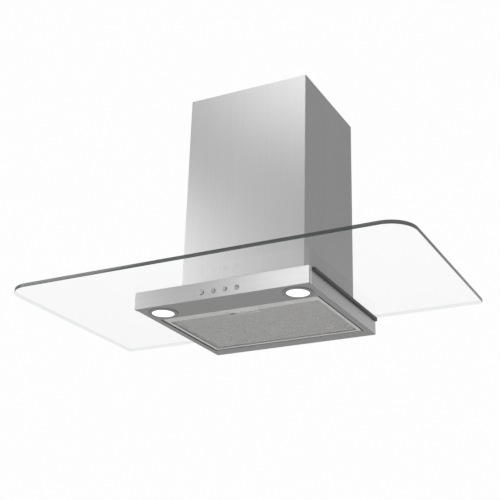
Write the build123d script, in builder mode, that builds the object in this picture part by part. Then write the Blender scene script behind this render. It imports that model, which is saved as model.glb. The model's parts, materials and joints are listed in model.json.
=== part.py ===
"""Wall-mounted range hood: slim steel body, flat glass canopy and telescopic chimney.

Frame: +X to the right of a person facing the hood, +Y into the wall, +Z up, millimetres.
The origin lies on the wall plane, in the middle of the four wall-fixing holes of the blower box.
"""

import os

from build123d import *

os.makedirs("parts", exist_ok=True)

# ---------------------------------------------------------------- driving dimensions

# Heights: the glass hangs below the wall fixings, and everything else is set out from the glass.
fixing_height = 150
glass_thickness = 8
glass_z = -fixing_height
glass_top = glass_z + glass_thickness

# Glass canopy
glass_width = 900
glass_front = -485
glass_back = -3
glass_front_radius = 55
glass_rear_radius = 10
glass_edge_break = 0.8
glass_opening_width = 230
glass_opening_front = -220
glass_opening_back = -32
glass_opening_radius = 15

# Steel body
sheet = 1.2
body_front = -360
body_half_width = 202
body_height = 38
body_bottom = glass_z - body_height
support_height = 7
casing_top = glass_z - support_height
casing_half_width = body_half_width - sheet
casing_front = body_front + sheet
casing_back = -1
panel_return = 12
panel_gap = 0.5
bend_radius = 1.5
edge_radius = 1

# Black frame under the glass
support_half_width = 207
support_front = -347
support_opening_half_width = 125
support_opening_front = -300
support_opening_back = -24
support_corner_radius = 6

# Filter bay in the casing's underside
bay_half_width = 187
bay_front = -281
bay_back = -35
bay_lip = 10

# Lamps
lamp_x = 157
lamp_y = -317
lamp_hole_radius = 28.5
lamp_bezel_radius = 32
lamp_lens_radius = 25
lamp_bezel_drop = 1.6
lamp_sleeve_height = 7
lamp_lens_thickness = 3
lamp_lens_setback = 1
lamp_housing_height = 22
lamp_housing_wall = 1.5
led_count = 6
led_size = 4
led_height = 1.5
led_circle = 11
led_board_thickness = 2
led_board_rise = 12

# Push-buttons
button_count = 4
button_pitch = 27
button_radius = 5
button_z = glass_z - 23
button_proud = 2
button_travel = 2
button_hole_gap = 0.3
button_collar = 1
button_collar_gap = 0.6
button_stem_radius = 2.5
button_names = [f"push_button_{index + 1}" for index in range(button_count)]

# Switch unit behind the buttons
guide_front = casing_front + 2 * sheet + 4.2
guide_back = guide_front + 3
stem_end = guide_back + 2
switch_half_width = 62
switch_half_height = 12
switch_wall = 2
switch_tab = 10
switch_tab_half_height = 6
switch_size = 6
switch_corner = 0.5
switch_plunger_radius = 1.7
switch_plunger_height = 0.8
switch_gap = 0.3
board_y = guide_front + 11.5
board_thickness = 1.6

# Grease filter
filter_half_width = 183
filter_front = -278
filter_back = -38.5
filter_bottom = body_bottom + 0.5
filter_height = 10
filter_lip = 8
filter_front_lip = 20
filter_corner = 4
filter_pivot_y = -42
filter_pivot_z = filter_bottom + 5
filter_pin_radius = 2.5
running_clearance = 0.06
mesh_sheet = 0.8
core_sheet = 0.5
core_fold_count = 24
core_edge_gap = 1.5
latch_y = -257
latch_half_width = 36
latch_half_depth = 12
latch_wall = 2
latch_cup_height = 7.5
latch_grip_depth = 9
latch_clearance = 0.4
latch_tongue_half_width = 10.4
latch_tongue_reach = 1.2
latch_slot_bottom = 3.2
latch_slot_height = 2.6

# Blower box: a flat back, a wrapper bent round the front and sides, and a flat top
box_half_width = 130
box_front = -240
box_top = glass_top + 262
box_flange = 13
box_bend = 3
box_opening_corner = 6
wall_hole_x = 100
wall_hole_z = 60
wall_hole_radius = 4
glass_screw_x = 136.5
glass_screw_ys = (-205, -120, -40)
glass_screw_radius = 2.5
glass_screw_head_radius = 5
glass_screw_head_height = 3
glass_screw_socket_radius = 1.5
glass_screw_socket_depth = 1.6
glass_hole_radius = 4.5
glass_bush_wall = 1.6
glass_nut_flats = 8
glass_nut_height = 4
screw_clearance = 0.3

# Scroll housing of the blower
fan_y = -100
fan_z = glass_top + 117
scroll_step = 9
scroll_first_radius = 84
scroll_half_width = 53
scroll_wall = 2
scroll_inlet_radius = 62
scroll_top = box_top - sheet
scroll_lug_radius = 5
scroll_lug_length = 10
scroll_screw_radius = 1.8
scroll_screw_head = 1.7
screw_head_height = 2.2

# Fan wheel
wheel_radius = 75
wheel_inner_radius = 62
wheel_half_width = 48
wheel_ring = 2.5
wheel_disc = 2
blade_count = 36
blade_thickness = 1
blade_slant = 28
hub_radius = 12
hub_length = 16
wheel_nut_flats = 13
wheel_nut_height = 6
axis_point = ((fan_y, fan_z),)

# Motor
motor_radius = 44
motor_left = -66
motor_right = -6
motor_wall = 2
motor_cap = 4
motor_corner = 5
motor_vent_circle = 27
motor_vent_count = 8
motor_vent_length = 16
motor_vent_width = 5
shaft_radius = 4
shaft_clearance = 0.05
bearing_radius = 9.5
bearing_width = 6
bearing_seat_wall = 3
stator_radius = 41.5
stator_bore = 24
stator_left = -52
stator_right = -20
stator_tooth_count = 12
stator_slot_length = 10
stator_slot_width = 4
winding_length = 4
rotor_gap = 0.6
bracket_arm_width = 14
bracket_reach = 80
bracket_foot_circle = 73
bracket_foot_radius = 5
bracket_sheet = 3

# Outlet spigot and non-return valve
spigot_y = fan_y - (scroll_first_radius + 2 * scroll_step) / 2
spigot_radius = 74
spigot_bore = 71.5
spigot_height = 48
spigot_flange = 3
spigot_flange_radius = 84
spigot_screw_radius = 2
spigot_screw_head = 1.8
spigot_screw_inset = 5
spigot_screw_angle = 30
valve_z = box_top + 22
valve_pin_radius = 1.5
flap_radius = 70.7
flap_thickness = 1.5
flap_setback = 3.5
knuckle_radius = 3
knuckle_length = 18
knuckle_gap = 0.4
ledge_width = 3.5
ledge_height = 2

# Supply side: box in the blower box's front right corner, and the cable gland in its top
case_left = 66
case_depth = 50
case_bottom = glass_top + 165
case_height = 84
case_wall = 2
case_vent_count = 5
case_vent_pitch = 8
case_vent_length = 36
case_vent_width = 3
terminal_count = 3
terminal_pitch = 10
terminal_depth = 16
terminal_height = 18
terminal_well_radius = 3
terminal_well_depth = 10
capacitor_radius = 14
capacitor_height = 54
capacitor_rise = 22
gland_x = 108
gland_y = -32
gland_thread_radius = 8
gland_bore = 4.5
gland_collar_radius = 12
gland_collar_height = 6
gland_nose = 8
gland_tail = 6

# Chimney
chimney_sheet = 1
chimney_half_width = 147.5
chimney_front = -265
chimney_height = 494
chimney_return = 14
chimney_bend = 2
sleeve_gap = 1
sleeve_drop = 1
sleeve_bottom = glass_top + 112
chimney_top = glass_top + chimney_height
rest_top = sleeve_bottom
rest_height = 30
rest_front = -190
rest_back = -70

# Wall bracket at the chimney's top
bracket_half_width = 128
bracket_height = 30
bracket_top = chimney_top - 20
bracket_ear = 36
bracket_slot_x = 90
bracket_slot_radius = 3.5
bracket_slot_length = 17


# ---------------------------------------------------------------- shared helpers


def block(low, high, mode=Mode.ADD):
    """A box between two opposite corners, added to or cut from the part being built."""
    size = [far - near for near, far in zip(low, high)]
    centre = tuple((far + near) / 2 for near, far in zip(low, high))
    with Locations(centre):
        Box(*size, mode=mode)


def rod(plane, radius, length, centres=((0, 0),), mode=Mode.ADD):
    """Round bars that start on the plane and run along its normal."""
    with BuildSketch(plane) as section:
        with Locations(*centres):
            Circle(radius)
    extrude(section.sketch, amount=length, mode=mode)


def slab(z, thickness, half_width, front, back, radius=0, mode=Mode.ADD):
    """A flat plate with its underside at z, with rounded corners if a radius is given."""
    with BuildSketch(Plane.XY.offset(z)) as outline:
        with Locations((0, (front + back) / 2)):
            if radius:
                RectangleRounded(2 * half_width, back - front, radius)
            else:
                Rectangle(2 * half_width, back - front)
    extrude(outline.sketch, amount=thickness, mode=mode)


def facing_front(y):
    """A plane at depth y that faces the user: its normal is -Y, its axes are X and Z."""
    return Plane.XZ.offset(-y)


def save(piece, node):
    """Label a finished piece and write it to its own file."""
    piece.part.label = node
    export_step(piece.part, f"parts/{node}.step")


# ---------------------------------------------------------------- glass canopy


def glass_fixing_centres():
    """The six places where screws pass through the glass, three on each side."""
    return [(side * glass_screw_x, y) for side in (-1, 1) for y in glass_screw_ys]


def make_glass():
    with BuildPart() as glass:
        slab(glass_z, glass_thickness, glass_width / 2, glass_front, glass_back)
        upright = glass.edges().filter_by(Axis.Z)
        fillet(upright.group_by(Axis.Y)[0], glass_front_radius)
        fillet(glass.edges().filter_by(Axis.Z).group_by(Axis.Y)[-1], glass_rear_radius)
        rims = glass.faces().filter_by(Axis.Z).edges()
        chamfer(rims, glass_edge_break)
        slab(glass_z, glass_thickness, glass_opening_width / 2, glass_opening_front,
             glass_opening_back, glass_opening_radius, Mode.SUBTRACT)
        rod(Plane.XY.offset(glass_z), glass_hole_radius, glass_thickness,
            glass_fixing_centres(), Mode.SUBTRACT)
    save(glass, "glass_canopy")


def make_glass_fixings():
    """Sleeves in the glass, the screws that clamp it, and the nuts under the casing's flange."""
    bush_radius = glass_hole_radius - 0.1
    with BuildPart() as bushes:
        rod(Plane.XY.offset(glass_z), bush_radius, glass_thickness, glass_fixing_centres())
        rod(Plane.XY.offset(glass_z), glass_hole_radius - glass_bush_wall, glass_thickness,
            glass_fixing_centres(), Mode.SUBTRACT)
    save(bushes, "glass_bushes")

    nut_bottom = casing_top - sheet - glass_nut_height
    screw_end = nut_bottom - 2
    flange_top = glass_top + sheet
    head_top = flange_top + glass_screw_head_height
    with BuildPart() as screws:
        rod(Plane.XY.offset(screw_end), glass_screw_radius, flange_top - screw_end,
            glass_fixing_centres())
        rod(Plane.XY.offset(flange_top), glass_screw_head_radius, glass_screw_head_height,
            glass_fixing_centres())
        fillet(screws.edges().filter_by(GeomType.CIRCLE).group_by(Axis.Z)[-1], 1.2)
        rod(Plane.XY.offset(head_top - glass_screw_socket_depth), glass_screw_socket_radius,
            glass_screw_socket_depth, glass_fixing_centres(), Mode.SUBTRACT)
    save(screws, "glass_screws")

    with BuildPart() as nuts:
        with BuildSketch(Plane.XY.offset(nut_bottom)):
            with Locations(*glass_fixing_centres()):
                RegularPolygon(glass_nut_flats / 2, 6, major_radius=False)
                Circle(glass_screw_radius + shaft_clearance, mode=Mode.SUBTRACT)
        extrude(amount=glass_nut_height)
    save(nuts, "glass_nuts")


def make_support_frame():
    with BuildPart() as frame:
        slab(casing_top, support_height, support_half_width, support_front, casing_back,
             support_corner_radius)
        slab(casing_top, support_height, support_opening_half_width,
             support_opening_front, support_opening_back, support_corner_radius, Mode.SUBTRACT)
        rod(Plane.XY.offset(casing_top), glass_screw_radius + screw_clearance, support_height,
            glass_fixing_centres(), Mode.SUBTRACT)
        top_rim = frame.faces().sort_by(Axis.Z)[-1].outer_wire().edges()
        fillet(top_rim, edge_radius)
    save(frame, "glass_support_frame")


# ---------------------------------------------------------------- steel body


def button_centres():
    """Centres of the push-buttons in the plane of the front panel."""
    first = -button_pitch * (button_count - 1) / 2
    return [(first + index * button_pitch, button_z) for index in range(button_count)]


def lamp_centres():
    return [(-lamp_x, lamp_y), (lamp_x, lamp_y)]


def make_casing():
    """Folded tray: four walls, an inward top flange, and the underside with its openings."""
    height = casing_top - body_bottom
    with BuildPart() as casing:
        slab(body_bottom, height, casing_half_width, casing_front, casing_back)
        fillet(casing.edges().filter_by(Axis.Z), bend_radius)
        underside = casing.faces().sort_by(Axis.Z)[0].outer_wire().edges()
        fillet(underside.sort_by(Axis.Y)[1:], edge_radius)
        slab(body_bottom + sheet, height - 2 * sheet, casing_half_width - sheet,
             casing_front + sheet, casing_back - sheet, mode=Mode.SUBTRACT)
        slab(casing_top - sheet, sheet, support_opening_half_width,
             support_opening_front, support_opening_back, mode=Mode.SUBTRACT)
        slab(body_bottom + sheet, bay_lip - sheet, bay_half_width + sheet, bay_front - sheet,
             bay_back + sheet)
        slab(body_bottom, bay_lip, bay_half_width, bay_front, bay_back, mode=Mode.SUBTRACT)
        rod(Plane.XY.offset(body_bottom), lamp_hole_radius, sheet, lamp_centres(), Mode.SUBTRACT)
        rod(facing_front(casing_front + sheet), button_radius + button_hole_gap, sheet,
            button_centres(), Mode.SUBTRACT)
        rod(Plane.XY.offset(casing_top - sheet), glass_screw_radius + screw_clearance, sheet,
            glass_fixing_centres(), Mode.SUBTRACT)
    save(casing, "casing")


def make_front_panel():
    """Front skin folded back at its top and at both ends, with the button holes."""
    panel_top = glass_z - panel_gap
    with BuildPart() as panel:
        block((-body_half_width, body_front, body_bottom),
              (body_half_width, body_front + panel_return, panel_top))
        front_uprights = panel.edges().filter_by(Axis.Z).group_by(Axis.Y)[0]
        fillet(front_uprights, bend_radius)
        top_front = panel.faces().sort_by(Axis.Y)[0].edges().filter_by(Axis.X).sort_by(Axis.Z)[-1]
        fillet(top_front, edge_radius)
        block((-casing_half_width, casing_front, body_bottom - 1),
              (casing_half_width, body_front + panel_return + 1, panel_top - sheet),
              Mode.SUBTRACT)
        rod(facing_front(casing_front), button_radius + button_hole_gap, sheet,
            button_centres(), Mode.SUBTRACT)
    save(panel, "front_panel")


def make_partition():
    """Wall behind the lamps and switches, with a flange under the casing's top."""
    back = bay_front - 3
    front = back - sheet
    flange_front = back - 9
    half_width = casing_half_width - sheet
    top = casing_top - sheet
    with BuildPart() as partition:
        block((-half_width, front, body_bottom + sheet), (half_width, back, top))
        block((-half_width, flange_front, top - sheet), (half_width, front, top))
    save(partition, "compartment_partition")


# ---------------------------------------------------------------- lamps


def make_lamp(side, x):
    """Bezel, lens, housing and light source of one recessed lamp."""
    underside = Plane.XY.offset(body_bottom - lamp_bezel_drop)
    centre = ((x, lamp_y),)
    sleeve_radius = lamp_hole_radius - 0.3
    sleeve_bore = lamp_lens_radius + 1.5
    sleeve_length = lamp_bezel_drop + lamp_sleeve_height
    lens_z = body_bottom - lamp_bezel_drop + lamp_lens_setback

    with BuildPart() as bezel:
        rod(underside, lamp_bezel_radius, lamp_bezel_drop, centre)
        fillet(bezel.edges().filter_by(GeomType.CIRCLE).sort_by(Axis.Z)[0], 0.8)
        rod(underside, sleeve_radius, sleeve_length, centre)
        rod(underside, lamp_lens_radius - 1, sleeve_length, centre, Mode.SUBTRACT)
        rod(Plane.XY.offset(lens_z), sleeve_bore, sleeve_length, centre, Mode.SUBTRACT)
    save(bezel, f"lamp_bezel_{side}")

    with BuildPart() as lens:
        rod(Plane.XY.offset(lens_z), sleeve_bore - 0.1, lamp_lens_thickness, centre)
        fillet(lens.edges().filter_by(GeomType.CIRCLE).sort_by(Axis.Z)[0], 0.6)
    save(lens, f"lamp_lens_{side}")

    housing_z = lens_z + lamp_lens_thickness
    housing_radius = sleeve_bore - 0.1
    housing_bore = housing_radius - lamp_housing_wall
    with BuildPart() as housing:
        rod(Plane.XY.offset(housing_z), housing_radius, lamp_housing_height, centre)
        fillet(housing.edges().filter_by(GeomType.CIRCLE).sort_by(Axis.Z)[-1], 2)
        rod(Plane.XY.offset(housing_z), housing_bore, lamp_housing_height - lamp_housing_wall,
            centre, Mode.SUBTRACT)
    save(housing, f"lamp_housing_{side}")

    led_z = housing_z + led_board_rise
    with BuildPart() as led:
        rod(Plane.XY.offset(led_z), housing_bore - 0.1, led_board_thickness, centre)
        with BuildSketch(Plane.XY.offset(led_z - led_height)):
            with Locations((x, lamp_y)):
                with PolarLocations(led_circle, led_count):
                    Rectangle(led_size, led_size)
        extrude(amount=led_height)
    save(led, f"lamp_led_{side}")


# ---------------------------------------------------------------- controls


def make_button(index, centre):
    """Cap, collar that stops it behind the panel, and the stem that presses a switch."""
    collar_front = casing_front + sheet + button_collar_gap
    collar_back = collar_front + button_collar
    with BuildPart() as button:
        rod(facing_front(collar_front), button_radius, collar_front - body_front + button_proud,
            (centre,))
        fillet(button.edges().filter_by(GeomType.CIRCLE).sort_by(Axis.Y)[0], 0.8)
        rod(facing_front(collar_back), button_radius + 1.5, button_collar, (centre,))
        rod(facing_front(stem_end), button_stem_radius, stem_end - collar_back, (centre,))
    save(button, button_names[index])


def make_switch_unit():
    """Guide housing for the button stems, the board behind it, and the switches on the board."""
    low = button_z - switch_half_height
    high = button_z + switch_half_height
    inner_half_width = switch_half_width - switch_wall
    panel_back = casing_front + sheet
    with BuildPart() as housing:
        block((-switch_half_width, guide_front, low), (switch_half_width, board_y, high))
        block((-inner_half_width, guide_back, low + switch_wall),
              (inner_half_width, board_y, high - switch_wall), Mode.SUBTRACT)
        rod(facing_front(guide_back), button_stem_radius + running_clearance,
            guide_back - guide_front, button_centres(), Mode.SUBTRACT)
        for side in (-1, 1):
            tab = sorted((side * switch_half_width, side * (switch_half_width + switch_tab)))
            leg = sorted((side * inner_half_width, side * switch_half_width))
            block((tab[0], panel_back, button_z - switch_tab_half_height),
                  (tab[1], panel_back + switch_wall, button_z + switch_tab_half_height))
            block((leg[0], panel_back, button_z - switch_tab_half_height),
                  (leg[1], guide_front, button_z + switch_tab_half_height))
    save(housing, "switch_housing")

    with BuildPart() as board:
        block((-switch_half_width, board_y, low),
              (switch_half_width, board_y + board_thickness, high))
    save(board, "switch_board")

    plunger_end = stem_end + button_travel + switch_gap
    switch_front = plunger_end + switch_plunger_height
    with BuildPart() as switches:
        with BuildSketch(facing_front(board_y)):
            with Locations(*button_centres()):
                RectangleRounded(switch_size, switch_size, switch_corner)
        extrude(amount=board_y - switch_front)
        with BuildSketch(facing_front(switch_front)):
            with Locations(*button_centres()):
                Circle(switch_plunger_radius)
        extrude(amount=switch_plunger_height)
    save(switches, "micro_switches")


# ---------------------------------------------------------------- grease filter


def make_filter_frame():
    """Channel frame round the mesh, with a hinge pin at each rear corner."""
    inner_corner = filter_corner - sheet
    slot_half_width = latch_tongue_half_width + 2 * latch_clearance
    slot_low, slot_high = latch_slot_heights()
    pin_length = bay_half_width - filter_half_width - 0.2
    with BuildPart() as frame:
        slab(filter_bottom, filter_height, filter_half_width, filter_front, filter_back,
             filter_corner)
        fillet(frame.faces().sort_by(Axis.Z)[0].outer_wire().edges(), 0.8)
        slab(filter_bottom + sheet, filter_height - 2 * sheet, filter_half_width - sheet,
             filter_front + sheet, filter_back - sheet, inner_corner, Mode.SUBTRACT)
        slab(filter_bottom, filter_height, filter_half_width - filter_lip,
             filter_front + filter_front_lip, filter_back - filter_lip, inner_corner,
             Mode.SUBTRACT)
        block((-latch_half_width, filter_front + filter_lip, filter_bottom),
              (latch_half_width, filter_front + filter_front_lip, filter_bottom + filter_height),
              Mode.SUBTRACT)
        block((-slot_half_width, filter_front, slot_low),
              (slot_half_width, filter_front + sheet, slot_high), Mode.SUBTRACT)
        for side in (-1, 1):
            wall = side * filter_half_width
            end = side * (filter_half_width + pin_length)
            inner = wall - side * sheet
            plane = Plane.YZ.offset(min(inner, end))
            rod(plane, filter_pin_radius, abs(end - inner), ((filter_pivot_y, filter_pivot_z),))
    save(frame, "filter_frame")


def latch_slot_heights():
    """Lower and upper height of the slots in which the latch's tongue slides."""
    low = filter_bottom + latch_slot_bottom
    return low, low + latch_slot_height


def make_mesh_layer(node, z, thickness):
    """One flat layer of the filter, notched round the latch."""
    with BuildPart() as layer:
        slab(z, thickness, filter_half_width - sheet - 0.3, filter_front + sheet + 0.3,
             filter_back - sheet - 0.3, 2.5)
        block((-latch_half_width, filter_front, z),
              (latch_half_width, latch_y + latch_half_depth, z + thickness),
              Mode.SUBTRACT)
    save(layer, node)


def make_core(z, height):
    """Corrugated middle layer: a thin sheet folded to and fro between the outer layers."""
    front = filter_front + sheet + core_edge_gap
    back = filter_back - sheet - core_edge_gap
    pitch = (back - front) / (2 * core_fold_count)
    crest = z + height - core_sheet
    lower_line = [(front + index * pitch, crest if index % 2 else z)
                  for index in range(2 * core_fold_count + 1)]
    upper_line = [(y, height_at + core_sheet) for y, height_at in reversed(lower_line)]
    half_length = filter_half_width - sheet - core_edge_gap
    with BuildPart() as core:
        with BuildSketch(Plane.YZ.offset(-half_length)):
            with BuildLine():
                Polyline(*lower_line, *upper_line, close=True)
            make_face()
        extrude(amount=2 * half_length)
        block((-latch_half_width, filter_front, z),
              (latch_half_width, latch_y + latch_half_depth, z + height), Mode.SUBTRACT)
    save(core, "filter_mesh_core")


def make_mesh_layers():
    lower_z = filter_bottom + sheet
    upper_z = filter_bottom + filter_height - sheet - mesh_sheet
    core_z = lower_z + mesh_sheet
    make_mesh_layer("filter_mesh_lower", lower_z, mesh_sheet)
    make_core(core_z, upper_z - core_z)
    make_mesh_layer("filter_mesh_upper", upper_z, mesh_sheet)


def make_latch():
    """Recessed finger cup in the filter, and the sprung slider inside it."""
    front = filter_front + filter_lip
    back = latch_y + latch_half_depth
    cup_top = filter_bottom + latch_cup_height
    slot_low, slot_high = latch_slot_heights()
    slot_half_width = latch_tongue_half_width + latch_clearance
    with BuildPart() as cup:
        block((-latch_half_width, front, filter_bottom), (latch_half_width, back, cup_top))
        fillet(cup.edges().filter_by(Axis.Z), bend_radius)
        block((-latch_half_width + latch_wall, front + latch_wall, filter_bottom),
              (latch_half_width - latch_wall, back - latch_wall, cup_top - latch_wall),
              Mode.SUBTRACT)
        block((-slot_half_width, front, slot_low),
              (slot_half_width, front + latch_wall, slot_high), Mode.SUBTRACT)
    save(cup, "latch_housing")

    grip_front = front + latch_wall + latch_clearance
    grip_half_width = latch_half_width - latch_wall - 1
    with BuildPart() as latch:
        block((-grip_half_width, grip_front, filter_bottom + latch_clearance),
              (grip_half_width, grip_front + latch_grip_depth,
               cup_top - latch_wall - latch_clearance))
        fillet(latch.edges().filter_by(Axis.Z), edge_radius)
        fillet(latch.faces().sort_by(Axis.Z)[0].edges(), 0.6)
        block((-latch_tongue_half_width, filter_front - latch_tongue_reach,
               slot_low + latch_clearance),
              (latch_tongue_half_width, grip_front + 1, slot_high - latch_clearance))
    save(latch, "filter_latch")


def make_pivot_clips():
    """Two blocks on the casing's side lips, each with a bore for one hinge pin."""
    clip_face = filter_half_width + 0.6
    half_size = 5
    with BuildPart() as clips:
        for side in (-1, 1):
            low_x = min(side * clip_face, side * bay_half_width)
            high_x = max(side * clip_face, side * bay_half_width)
            block((low_x, filter_pivot_y - half_size, filter_pivot_z - half_size + 1),
                  (high_x, filter_pivot_y + half_size, filter_pivot_z + half_size))
            rod(Plane.YZ.offset(low_x), filter_pin_radius + running_clearance, high_x - low_x,
                ((filter_pivot_y, filter_pivot_z),), Mode.SUBTRACT)
    save(clips, "filter_pivot_clips")


# ---------------------------------------------------------------- blower box


def make_blower_back():
    """Flat back plate that hangs on the four wall screws."""
    wall_holes = [(x, z) for x in (-wall_hole_x, wall_hole_x) for z in (-wall_hole_z, wall_hole_z)]
    with BuildPart() as back:
        block((-box_half_width, -sheet, glass_top), (box_half_width, 0, box_top - sheet))
        rod(facing_front(0), wall_hole_radius, sheet, wall_holes, Mode.SUBTRACT)
    save(back, "blower_box_back")


def make_blower_wrapper():
    """Front and sides bent from one sheet, with a foot flange screwed down onto the glass."""
    height = box_top - sheet - glass_top
    with BuildPart() as wrapper:
        slab(glass_top, height, box_half_width, box_front, -sheet)
        fillet(wrapper.edges().filter_by(Axis.Z).group_by(Axis.Y)[0], box_bend)
        slab(glass_top, sheet, box_half_width + box_flange, box_front - box_flange,
             -chimney_sheet - 1)
        slab(glass_top, height, box_half_width - sheet, box_front + sheet, 0,
             mode=Mode.SUBTRACT)
        rod(Plane.XY.offset(glass_top), glass_screw_radius + screw_clearance, sheet,
            glass_fixing_centres(), Mode.SUBTRACT)
    save(wrapper, "blower_box_wrapper")


def make_blower_top():
    """Top plate with the blower's outlet, the gland's hole and the spigot's screw holes."""
    outlet_half_depth = (scroll_first_radius + 3 * scroll_step) / 2
    underside = Plane.XY.offset(box_top - sheet)
    with BuildPart() as top:
        slab(box_top - sheet, sheet, box_half_width, box_front, 0)
        fillet(top.edges().filter_by(Axis.Z).group_by(Axis.Y)[0], box_bend)
        slab(box_top - sheet, sheet, scroll_half_width, spigot_y - outlet_half_depth,
             spigot_y + outlet_half_depth, box_opening_corner, Mode.SUBTRACT)
        rod(underside, gland_thread_radius + 0.1, sheet, ((gland_x, gland_y),), Mode.SUBTRACT)
        rod(underside, spigot_screw_radius + 0.1, sheet, spigot_screw_centres(), Mode.SUBTRACT)
    save(top, "blower_box_top")


# ---------------------------------------------------------------- scroll housing


def volute(wall):
    """Face of the spiral in the YZ plane, grown outwards by a wall thickness.

    Three quarter arcs with stepped centres run from the tongue round the back and the bottom to
    the front, and straight walls lead up to the outlet.
    """
    half = scroll_step / 2
    first = scroll_first_radius + wall
    second = first + scroll_step
    third = second + scroll_step
    tongue = (fan_y + half + wall, fan_z - half + (first**2 - wall**2) ** 0.5)
    rear = (fan_y + half + first, fan_z - half)
    bottom = (fan_y - half, fan_z - half - second)
    front = (fan_y - half - third, fan_z + half)
    with BuildSketch(Plane.YZ) as face:
        with BuildLine():
            RadiusArc(tongue, rear, first)
            RadiusArc(rear, bottom, second)
            RadiusArc(bottom, front, third)
            Polyline(front, (front[0], scroll_top), (tongue[0], scroll_top), tongue)
        make_face()
    return face.sketch


def make_scroll_half(node, side):
    """One half of the scroll: spiral wall, side wall with the inlet, and screw lugs."""
    inner_end = side * scroll_half_width
    outer_end = side * (scroll_half_width + scroll_wall)
    outside = volute(scroll_wall)
    inside = volute(0)
    with BuildPart() as half:
        extrude(outside, amount=outer_end)
        extrude(inside, amount=inner_end, mode=Mode.SUBTRACT)
        lug_plane = Plane.YZ.offset(min(0, side * scroll_lug_length))
        for centre in scroll_lug_centres():
            rod(lug_plane, scroll_lug_radius, scroll_lug_length, (centre,))
        rod(Plane.YZ.offset(min(inner_end, outer_end)), scroll_inlet_radius, scroll_wall,
            axis_point, Mode.SUBTRACT)
        extrude(inside, amount=inner_end, mode=Mode.SUBTRACT)
        rod(lug_plane, scroll_screw_radius + 0.1, scroll_lug_length, scroll_lug_centres(),
            Mode.SUBTRACT)
    save(half, node)


def scroll_lug_centres():
    """Lugs outside the spiral wall through which the two halves are screwed together."""
    half = scroll_step / 2
    reach = scroll_first_radius + scroll_wall + scroll_lug_radius - 1
    on_arcs = [((fan_y + half, fan_z - half), reach, 40),
               ((fan_y - half, fan_z - half), reach + scroll_step, -70),
               ((fan_y - half, fan_z + half), reach + 2 * scroll_step, 210)]
    centres = []
    for arc_centre, distance, angle in on_arcs:
        offset = Vector(distance, 0).rotate(Axis.Z, angle)
        centres.append((arc_centre[0] + offset.X, arc_centre[1] + offset.Y))
    centres.append((fan_y - half - reach - 2 * scroll_step, fan_z + 80))
    return centres


def make_scroll_screws():
    with BuildPart() as screws:
        rod(Plane.YZ.offset(-scroll_lug_length), scroll_screw_radius, 2 * scroll_lug_length,
            scroll_lug_centres())
        rod(Plane.YZ.offset(scroll_lug_length), scroll_screw_radius + scroll_screw_head,
            screw_head_height, scroll_lug_centres())
    save(screws, "scroll_screws")


# ---------------------------------------------------------------- motor and fan wheel


def tube(left, right, radius, bore):
    """A tube round the fan's axis, added to the part being built."""
    with BuildSketch(Plane.YZ.offset(left)) as ring:
        with Locations((fan_y, fan_z)):
            Circle(radius)
            Circle(bore, mode=Mode.SUBTRACT)
    extrude(ring.sketch, amount=right - left)


def make_motor_housing():
    """Drawn housing with a vented nose, the end cap, and a bearing in each."""
    housing_left = motor_left + motor_cap
    nose = bearing_width + 2
    nose_plane = Plane.YZ.offset(motor_right - nose)
    with BuildPart() as housing:
        rod(Plane.YZ.offset(housing_left), motor_radius, motor_right - housing_left, axis_point)
        fillet(housing.edges().filter_by(GeomType.CIRCLE).sort_by(Axis.X)[-1], motor_corner)
        rod(Plane.YZ.offset(housing_left), motor_radius - motor_wall,
            motor_right - housing_left - nose, axis_point, Mode.SUBTRACT)
        rod(nose_plane, bearing_radius, bearing_width, axis_point, Mode.SUBTRACT)
        rod(nose_plane, shaft_radius + 1, nose, axis_point, Mode.SUBTRACT)
        with BuildSketch(nose_plane) as vents:
            with Locations((fan_y, fan_z)):
                with PolarLocations(motor_vent_circle, motor_vent_count):
                    SlotOverall(motor_vent_length, motor_vent_width)
        extrude(vents.sketch, amount=nose, mode=Mode.SUBTRACT)
    save(housing, "motor_housing")

    seat = Plane.YZ.offset(housing_left)
    with BuildPart() as cap:
        rod(Plane.YZ.offset(motor_left), motor_radius, motor_cap, axis_point)
        rod(seat, bearing_radius + bearing_seat_wall, bearing_width + 1, axis_point)
        rod(seat, bearing_radius, bearing_width + 1, axis_point, Mode.SUBTRACT)
    save(cap, "motor_end_cap")

    with BuildPart() as bearings:
        for left in (housing_left + 0.5, motor_right - nose):
            tube(left, left + bearing_width, bearing_radius - shaft_clearance,
                 shaft_radius + shaft_clearance)
    save(bearings, "motor_bearings")


def make_motor_core():
    """Slotted stator with its winding ends, and the rotor on its shaft."""
    with BuildPart() as stator:
        tube(stator_left, stator_right, stator_radius, stator_bore)
        with BuildSketch(Plane.YZ.offset(stator_left)) as slots:
            with Locations((fan_y, fan_z)):
                with PolarLocations(stator_bore + winding_length, stator_tooth_count):
                    SlotOverall(stator_slot_length, stator_slot_width)
        extrude(slots.sketch, amount=stator_right - stator_left, mode=Mode.SUBTRACT)
        for left in (stator_left - winding_length, stator_right):
            tube(left, left + winding_length, stator_radius - winding_length,
                 stator_bore + stator_slot_length)
    save(stator, "stator")

    shaft_left = motor_left + motor_cap + 0.6
    shaft_right = hub_length + 8
    with BuildPart() as rotor:
        rod(Plane.YZ.offset(stator_left), stator_bore - rotor_gap, stator_right - stator_left,
            axis_point)
        rod(Plane.YZ.offset(shaft_left), shaft_radius, shaft_right - shaft_left, axis_point)
    save(rotor, "motor_rotor")


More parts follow.
